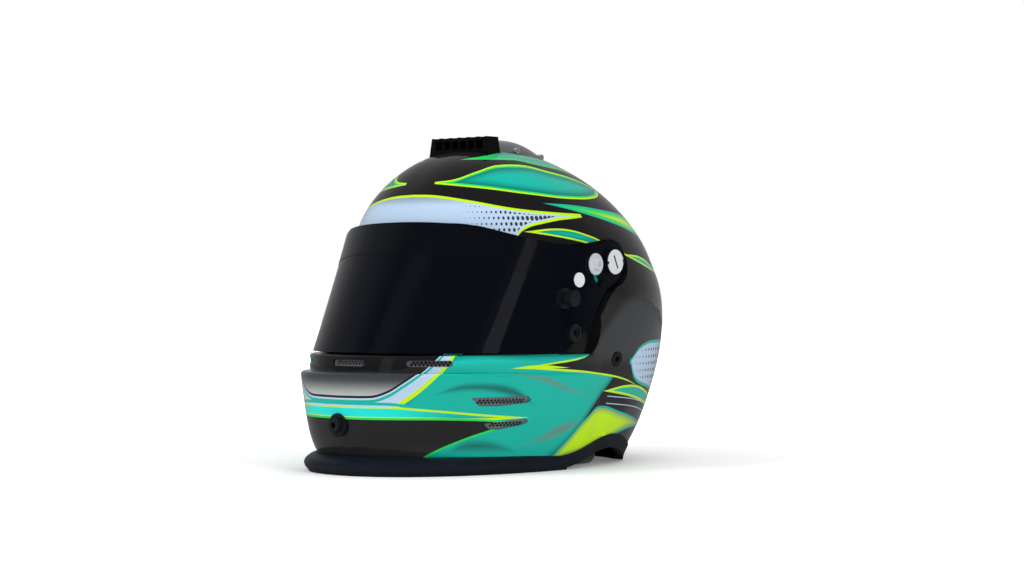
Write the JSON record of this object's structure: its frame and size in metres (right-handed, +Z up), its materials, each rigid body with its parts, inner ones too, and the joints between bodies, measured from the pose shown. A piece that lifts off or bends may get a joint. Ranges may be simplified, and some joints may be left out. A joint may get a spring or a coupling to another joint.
{
  "type": "auto racing helmet",
  "caption": "Full face auto racing helmet with a hinged dark visor, crown scoop, vented chin, liner, cheek pads and a D-ring chin strap.",
  "frame": {"origin": "centre of the base, under the middle of the bounding box", "axes": "+Z up, front of the helmet towards -Y, wearer's left towards +X"},
  "size_m": [0.2588, 0.3622, 0.2765],
  "materials": {
    "shell_paint": "gloss",
    "smoke_visor": "gloss",
    "black_film": "gloss",
    "white_film": "gloss",
    "black_plastic": "satin",
    "silver_cap": "satin",
    "bright_steel": "polished",
    "dark_steel": "satin",
    "mesh_metal": "satin",
    "edge_rubber": "matte",
    "grey_gloss": "gloss",
    "foam": "matte",
    "lining": "woven",
    "webbing": "woven"
  },
  "bodies": {
    "helmet": {"base_edge_trim": "edge_rubber", "cheek_pad_left": "lining", "cheek_pad_right": "lining", "chin_bar_foam": "foam", "chin_mesh_left": "mesh_metal", "chin_mesh_middle": "mesh_metal", "chin_mesh_right": "mesh_metal", "chin_spoiler": "black_plastic", "comfort_liner": "lining", "crown_fairing": "grey_gloss", "crown_scoop": "black_plastic", "drink_port": "edge_rubber", "eyeport_gasket": "edge_rubber", "fairing_screws": "dark_steel", "guide_screw_left": "bright_steel", "guide_screw_right": "bright_steel", "guide_washer_left": "bright_steel", "guide_washer_right": "bright_steel", "impact_liner": "foam", "neck_roll": "lining", "outer_shell": "shell_paint", "pivot_cap_left": "silver_cap", "pivot_cap_right": "silver_cap", "pivot_plate_left": "black_plastic", "pivot_plate_right": "black_plastic", "restraint_anchor_left": "dark_steel", "restraint_anchor_right": "dark_steel", "scoop_mesh": "mesh_metal", "side_mesh_lower_left": "mesh_metal", "side_mesh_lower_right": "mesh_metal", "side_mesh_upper_left": "mesh_metal", "side_mesh_upper_right": "mesh_metal", "strap_anchor_left": "bright_steel", "strap_anchor_right": "bright_steel"},
    "face_visor": {"sun_strip": "black_film", "tear_off_post_left": "black_plastic", "tear_off_post_right": "black_plastic", "visor": "smoke_visor", "visor_sticker_left": "white_film", "visor_sticker_right": "white_film", "visor_stud_left": "black_plastic", "visor_stud_right": "black_plastic"},
    "strap_left": {"chin_strap_left": "webbing"},
    "strap_right": {"chin_strap_right": "webbing"},
    "rings": {"d_ring_upper": "bright_steel", "d_ring_lower": "bright_steel"}
  },
  "joints": [
    {"name": "visor_hinge", "type": "hinge", "parent": "helmet", "child": "face_visor", "pos_m": [0, 0.024, 0.171], "axis": [-1, 0, 0], "range_deg": [0, 42]},
    {"name": "strap_left_swing", "type": "hinge", "parent": "helmet", "child": "strap_left", "pos_m": [0.092, 0.026, 0.034], "axis": [1, 0, 0], "range_deg": [-20, 10]},
    {"name": "strap_right_swing", "type": "hinge", "parent": "helmet", "child": "strap_right", "pos_m": [-0.092, 0.026, 0.034], "axis": [1, 0, 0], "range_deg": [-20, 10]},
    {"name": "ring_swing", "type": "hinge", "parent": "strap_left", "child": "rings", "pos_m": [0.03, 0.026, 0.0054], "axis": [0, 1, 0], "range_deg": [0, 70]}
  ]
}
